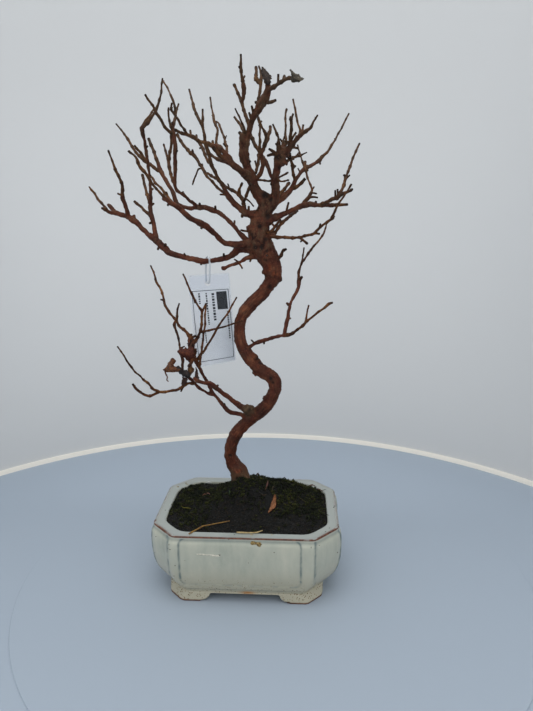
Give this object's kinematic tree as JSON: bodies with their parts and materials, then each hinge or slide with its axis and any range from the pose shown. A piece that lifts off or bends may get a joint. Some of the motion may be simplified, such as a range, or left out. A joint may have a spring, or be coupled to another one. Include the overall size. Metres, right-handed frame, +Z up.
{
  "type": "black mulberry bonsai in a pot",
  "caption": "Winding black mulberry bonsai, bare but for a few curled dead leaves, in a pale glazed rectangular pot with a blank label.",
  "frame": {"origin": "middle of the whole object's footprint, on the surface that the pot's feet stand on", "axes": "+Z up along the tree, +X along the pot's long side, -Y towards the viewer's side"},
  "size_m": [0.2546, 0.1452, 0.4718],
  "materials": {
    "glazed_stoneware": "gloss",
    "compost": "matte",
    "mesh_plastic": "matte",
    "bark": "matte",
    "dead_leaf_red": "matte",
    "dead_leaf_brown": "matte",
    "dead_leaf_olive": "matte",
    "dead_leaf_dark": "matte",
    "dead_leaf_orange": "matte",
    "clear_vinyl": "gloss",
    "card": "satin",
    "tie_plastic": "satin",
    "dry_stalk": "matte"
  },
  "bodies": {
    "root": {"pot": "glazed_stoneware", "soil": "compost", "drain_mesh_left": "mesh_plastic", "drain_mesh_right": "mesh_plastic", "tree": "bark", "leaf_low_large": "dead_leaf_red", "leaf_low_curled": "dead_leaf_brown", "leaf_low_small": "dead_leaf_olive", "leaf_low_dark": "dead_leaf_dark", "leaf_low_scrap": "dead_leaf_dark", "leaf_top_left": "dead_leaf_dark", "leaf_top_right": "dead_leaf_olive", "label_sleeve": "clear_vinyl", "label_card": "card", "label_tie": "tie_plastic", "litter_twig": "dry_stalk", "litter_straw": "dry_stalk", "litter_leaf": "dead_leaf_orange"}
  },
  "joints": []
}
